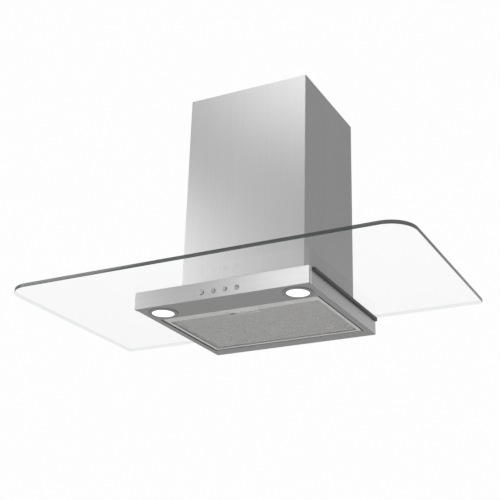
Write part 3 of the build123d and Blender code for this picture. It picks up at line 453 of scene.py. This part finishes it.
slot_materials = {
    "brushed_stainless": brushed_steel("chimney_steel", STEEL_CHIMNEY, ALONG_Z, ALONG_X,
                                       **CHIMNEY_POLISH),
    "body_stainless": brushed_steel("body_steel", STEEL_BODY, ALONG_X, ALONG_Y, **BODY_POLISH),
    "galvanised": galvanised("zinc_sheet"),
    "zinc_screw": turned_metal("zinc_plate", ZINC_PLATE, roughness=0.32),
    "black_plastic": moulded_plastic("black_moulding", BLACK, roughness=0.45),
    "grey_plastic": moulded_plastic("grey_moulding", GREY, roughness=0.5),
    "white_nylon": moulded_plastic("nylon", NYLON, roughness=0.45),
    "lamp_bezel": turned_metal("bezel_metal", BEZEL, roughness=0.35),
    "lamp_led": moulded_plastic("led_board", LED_BOARD, roughness=0.4),
    # Painted light: the filter's mesh and frame take the aluminium lightened by these factors.
    "filter_aluminium": turned_metal("filter_metal", shaded(ALUMINIUM, MESH_PAINTED_LIGHT), roughness=0.38),
    "frame_aluminium": turned_metal("filter_frame_metal", shaded(ALUMINIUM, FRAME_PAINTED_LIGHT),
                                    roughness=0.34),
    "button_metal": turned_metal("button_chrome", BUTTON_CHROME, roughness=0.25),
    "latch_metal": turned_metal("latch_chrome", CHROME, roughness=0.25),
    "motor_steel": turned_metal("motor_plate", MOTOR_PLATE, roughness=0.4),
    "lamination_steel": laminated_core("lamination"),
    "bearing_steel": turned_metal("bearing_metal", CHROME, roughness=0.15),
    "circuit_board": circuit_board("solder_mask"),
    "clear_glass": clear_pane("glass_face"),
}
node_materials = {
    "front_panel": brushed_steel("panel_steel", STEEL_PANEL, ALONG_X, ALONG_Y, **BODY_POLISH),
}


def dress(node, material):
    """Give a CAD node's mesh one material."""
    slots = nodes[node].data.materials
    slots.clear()
    slots.append(material)


for entry in frame["record"]["subparts"]:
    node, slot = entry["node"], entry["material_slot"]
    if slot == "lamp_lens":
        low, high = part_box(node)
        dress(node, lit_lens(f"{node}_glow", (low + high) / 2))
    else:
        dress(node, node_materials.get(node, slot_materials[slot]))

# ---------------------------------------------------------------- mesh helpers


def make_piece(name, mesh_data, materials, body):
    """Turn a bmesh into a piece that rides on a body."""
    mesh = bpy.data.meshes.new(name)
    mesh_data.normal_update()
    mesh_data.to_mesh(mesh)
    mesh_data.free()
    piece = bpy.data.objects.new(name, mesh)
    bpy.context.scene.collection.objects.link(piece)
    for material in materials:
        mesh.materials.append(material)
    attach(piece, body)
    return piece


# ---------------------------------------------------------------- the glass pane

# Size and place come from the CAD pane; the opening, the holes and the corners match its own.
ARRIS = 0.0008
ARRIS_STEPS = 4
PANE_CORNERS = (0.055, 0.010)
AIR_OPENING = {"half_width": 0.115, "front": -0.220, "back": -0.032, "corner": 0.015}
SCREW_HOLE_X = 0.1365
SCREW_HOLE_YS = (-0.205, -0.120, -0.040)
SCREW_HOLE_RADIUS = 0.0045


def rounded_outline(half_width, front, back, front_corner, back_corner, steps=16):
    """Points round a rectangle with rounded corners, anticlockwise from the front right."""
    corners = ((half_width, front, front_corner, -90), (half_width, back, back_corner, 0),
               (-half_width, back, back_corner, 90), (-half_width, front, front_corner, 180))
    points = []
    for x, y, radius, start in corners:
        centre_x = x - math.copysign(radius, x)
        centre_y = y + (radius if y == front else -radius)
        for step in range(steps + 1):
            angle = math.radians(start + 90 * step / steps)
            points.append((centre_x + radius * math.cos(angle),
                           centre_y + radius * math.sin(angle)))
    return points


def edge_profile(bottom, top):
    """(inset, height) down the edge of the glass: a rounded arris, the polished flat, an arris."""
    profile = []
    for step in range(ARRIS_STEPS + 1):
        angle = math.pi / 2 * step / ARRIS_STEPS
        profile.append((ARRIS * (1 - math.sin(angle)), top - ARRIS * (1 - math.cos(angle))))
    for step in range(ARRIS_STEPS + 1):
        angle = math.pi / 2 * step / ARRIS_STEPS
        profile.append((ARRIS * (1 - math.cos(angle)), bottom + ARRIS * (1 - math.sin(angle))))
    return profile


def add_rim(data, outline, bottom, top):
    """Edge of the glass along an outline; outline(inset) gives the points at an inset.
    Returns the edges of its uppermost and lowest rings."""
    rings = []
    for inset, height in edge_profile(bottom, top):
        rings.append([data.verts.new((x, y, height)) for x, y in outline(inset)])
    for upper, lower in zip(rings, rings[1:]):
        for index in range(len(upper)):
            following = (index + 1) % len(upper)
            face = data.faces.new((upper[index], lower[index], lower[following],
                                   upper[following]))
            face.smooth = True
            face.material_index = 1
    ends = []
    for ring in (rings[0], rings[-1]):
        ends.append([data.edges.get((ring[index - 1], ring[index]))
                     for index in range(len(ring))])
    return ends


def screw_hole(x, y, steps=32):
    """Outline of one screw hole, clockwise, as a function of the inset."""
    def outline(inset):
        radius = SCREW_HOLE_RADIUS + inset
        turns = [-math.tau * step / steps for step in range(steps)]
        return [(x + radius * math.cos(turn), y + radius * math.sin(turn)) for turn in turns]
    return outline


def glass_pane(face_material, edge_material):
    """Clear plate with rounded front corners, the air opening and six screw holes."""
    low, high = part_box("glass_canopy")
    data = bmesh.new()

    def outer(inset):
        return rounded_outline(high.x - inset, low.y + inset, high.y - inset,
                               PANE_CORNERS[0] - inset, PANE_CORNERS[1] - inset)

    def opening(inset):
        corner = AIR_OPENING["corner"] + inset
        return reversed(rounded_outline(AIR_OPENING["half_width"] + inset,
                                        AIR_OPENING["front"] - inset,
                                        AIR_OPENING["back"] + inset, corner, corner))

    outlines = [outer, opening]
    for side in (-1, 1):
        for y in SCREW_HOLE_YS:
            outlines.append(screw_hole(side * SCREW_HOLE_X, y))
    rims = [add_rim(data, outline, low.z, high.z) for outline in outlines]
    for level in (0, 1):
        edges = [edge for rim in rims for edge in rim[level]]
        bmesh.ops.triangle_fill(data, use_beauty=True, edges=edges)
    bmesh.ops.recalc_face_normals(data, faces=data.faces[:])
    pane = make_piece("glass_plate", data, [face_material, edge_material], "hood")
    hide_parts("glass_canopy")


glass_pane(slot_materials["clear_glass"], pane_edge("glass_edge"))

# ---------------------------------------------------------------- the filter's expanded mesh

STRAND_ROWS = 78
STRAND_CELLS = 72
STRAND_WIDTH = 0.0007
STRAND_DEPTH = 0.0006
BED_CLEARANCE = 0.0001
CREST_LIFT = 0.00015


def expanded_mesh(name, sheet):
    """Rows of zigzag strands in place of a plain sheet of the filter. They meet at their crests,
    as in slit and stretched sheet, and leave room for the latch."""
    low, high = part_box(sheet)
    latch_low, latch_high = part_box("latch_housing")
    pitch_y = (high.y - low.y) / STRAND_ROWS
    pitch_x = (high.x - low.x) / STRAND_CELLS
    bottom = low.z + BED_CLEARANCE
    data = bmesh.new()
    for row in range(STRAND_ROWS):
        middle = low.y + (row + 0.5) * pitch_y
        strand = []
        for step in range(2 * STRAND_CELLS + 1):
            x = low.x + step * pitch_x / 2
            swing = 0.5 if (step + row) % 2 else -0.5
            y = middle + swing * (pitch_y - STRAND_WIDTH)
            lift = CREST_LIFT if step % 2 else 0.0
            if latch_low.x < x < latch_high.x and y < latch_high.y:
                add_strand(data, strand, bottom)
                strand = []
            else:
                strand.append((x, y, lift))
        add_strand(data, strand, bottom)
    piece = make_piece(name, data, [slot_materials["filter_aluminium"]],
                       "filter")
    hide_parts(sheet)


def add_strand(data, points, bottom):
    """One bent strip of metal through a list of points."""
    if len(points) < 2:
        return
    half = STRAND_WIDTH / 2
    rings = []
    for x, y, lift in points:
        corners = ((y - half, bottom + lift), (y + half, bottom + lift),
                   (y + half, bottom + lift + STRAND_DEPTH),
                   (y - half, bottom + lift + STRAND_DEPTH))
        rings.append([data.verts.new((x, *corner)) for corner in corners])
    for before, after in zip(rings, rings[1:]):
        for index in range(4):
            following = (index + 1) % 4
            data.faces.new((before[index], after[index], after[following], before[following]))
    data.faces.new(rings[0])
    data.faces.new(list(reversed(rings[-1])))


expanded_mesh("filter_mesh_expanded_lower", "filter_mesh_lower")
expanded_mesh("filter_mesh_expanded_upper", "filter_mesh_upper")

# ---------------------------------------------------------------- stage, light and camera

FLOOR_DROP = 1.55
FLOOR_SIZE = 60.0

# What the camera sees behind the hood, and the brightness of the room that the metal reflects:
# for each axis of the direction, the range it changes over and the strength at its two ends.
BACKGROUND = 0.985
ROOM_RAMPS = (("Y", -0.8, 0.5, 0.5, 0.42), ("Z", 0.75, 1.0, 0.0, 0.6))

# Each soft light: azimuth and elevation in degrees seen from the hood, width and height in
# metres, power in watts. Azimuth 0 is in front of the hood and grows to its right.
LIGHT_DISTANCE = 3.2
SOFT_LIGHTS = {
    "high_front_light": (-12.0, 50, 1.6, 2.2, 18.5),
    "low_left_light": (-50, 12, 1.5, 1.5, 19),
    "low_front_light": (-18.8, -8, 0.75, 1.4, 10),
    "right_back_light": (146, 3, 1.2, 0.9, 4.3),
}

CAMERA_PLACE = (0.9986, -2.1060, -0.9136)
CAMERA_YAW = 25.707
CAMERA_PITCH = 24.201
CAMERA_ROLL = 0.72
CAMERA_LENS = 75.77
CAMERA_SHIFT = (-0.08, -0.064)
SENSOR_WIDTH = 36.0


def make_floor():
    """Plain pale floor at a kitchen's height below the hood."""
    level = cad_box[0].z - FLOOR_DROP
    shader = Shader("pale_floor", FLOOR_LIGHT, roughness=0.7)
    mottle = shader.noise(1.5, detail=3.0)
    shader.drive("Base Color", shader.tint(mottle, FLOOR_DARK, FLOOR_LIGHT))
    data = bmesh.new()
    bmesh.ops.create_grid(data, x_segments=4, y_segments=4, size=FLOOR_SIZE / 2,
                          matrix=Matrix.Translation((0, 0, level)))
    mesh = bpy.data.meshes.new("floor")
    data.to_mesh(mesh)
    data.free()
    mesh.materials.append(shader.material)
    floor = bpy.data.objects.new("floor", mesh)
    bpy.context.scene.collection.objects.link(floor)


def room_strength(tree):
    """Brightness of the room in each direction: the sum of the room's ramps."""
    direction = tree.nodes.new("ShaderNodeSeparateXYZ")
    tree.links.new(tree.nodes.new("ShaderNodeTexCoord").outputs["Generated"],
                   direction.inputs["Vector"])
    ramps = []
    for axis, start, end, low, high in ROOM_RAMPS:
        ramp = tree.nodes.new("ShaderNodeMapRange")
        ramp.inputs["From Min"].default_value = start
        ramp.inputs["From Max"].default_value = end
        ramp.inputs["To Min"].default_value = low
        ramp.inputs["To Max"].default_value = high
        tree.links.new(direction.outputs[axis], ramp.inputs["Value"])
        ramps.append(ramp.outputs["Result"])
    strength = tree.nodes.new("ShaderNodeMath")
    for ramp, socket in zip(ramps, strength.inputs):
        tree.links.new(ramp, socket)
    return strength.outputs["Value"]


def make_world():
    """Plain white background. What the metal reflects is a softer room: dimmer behind the hood,
    brighter overhead."""
    world = bpy.data.worlds.new("studio")
    bpy.context.scene.world = world
    world.use_nodes = True
    tree = world.node_tree
    room = tree.nodes["Background"]
    room.inputs["Color"].default_value = (1, 1, 1, 1)
    tree.links.new(room_strength(tree), room.inputs["Strength"])
    white = tree.nodes.new("ShaderNodeBackground")
    white.inputs["Color"].default_value = (BACKGROUND, BACKGROUND, BACKGROUND, 1)
    seen = tree.nodes.new("ShaderNodeLightPath")
    mix = tree.nodes.new("ShaderNodeMixShader")
    tree.links.new(seen.outputs["Is Camera Ray"], mix.inputs["Fac"])
    tree.links.new(room.outputs["Background"], mix.inputs[1])
    tree.links.new(white.outputs["Background"], mix.inputs[2])
    tree.links.new(mix.outputs["Shader"], tree.nodes["World Output"].inputs["Surface"])


def soft_light(name, azimuth, elevation, width, height, power):
    """Rectangular light in a direction from the hood, aimed at it."""
    target = (cad_box[0] + cad_box[1]) / 2
    turn, rise = math.radians(azimuth), math.radians(elevation)
    away = Vector((math.sin(turn) * math.cos(rise), -math.cos(turn) * math.cos(rise),
                   math.sin(rise)))
    light = bpy.data.lights.new(name, "AREA")
    light.shape = "RECTANGLE"
    light.size = width
    light.size_y = height
    light.energy = power
    lamp = bpy.data.objects.new(name, light)
    lamp.location = target + away * LIGHT_DISTANCE
    lamp.rotation_mode = "QUATERNION"
    lamp.rotation_quaternion = away.to_track_quat("Z", "Y")
    lamp.visible_camera = False
    bpy.context.scene.collection.objects.link(lamp)


def make_camera():
    """Camera below the hood and to its right, looking up at it."""
    camera = bpy.data.cameras.new("camera")
    camera.sensor_width = SENSOR_WIDTH
    camera.lens = CAMERA_LENS
    camera.shift_x, camera.shift_y = CAMERA_SHIFT
    holder = bpy.data.objects.new("camera", camera)
    level = math.radians(90 + CAMERA_PITCH)
    turn = (Matrix.Rotation(math.radians(CAMERA_YAW), 4, "Z") @ Matrix.Rotation(level, 4, "X")
            @ Matrix.Rotation(math.radians(CAMERA_ROLL), 4, "Z"))
    holder.matrix_world = Matrix.Translation(CAMERA_PLACE) @ turn
    bpy.context.scene.collection.objects.link(holder)
    bpy.context.scene.camera = holder


make_floor()
make_world()
for name, settings in SOFT_LIGHTS.items():
    soft_light(name, *settings)
make_camera()
bpy.context.scene.view_settings.view_transform = "Standard"
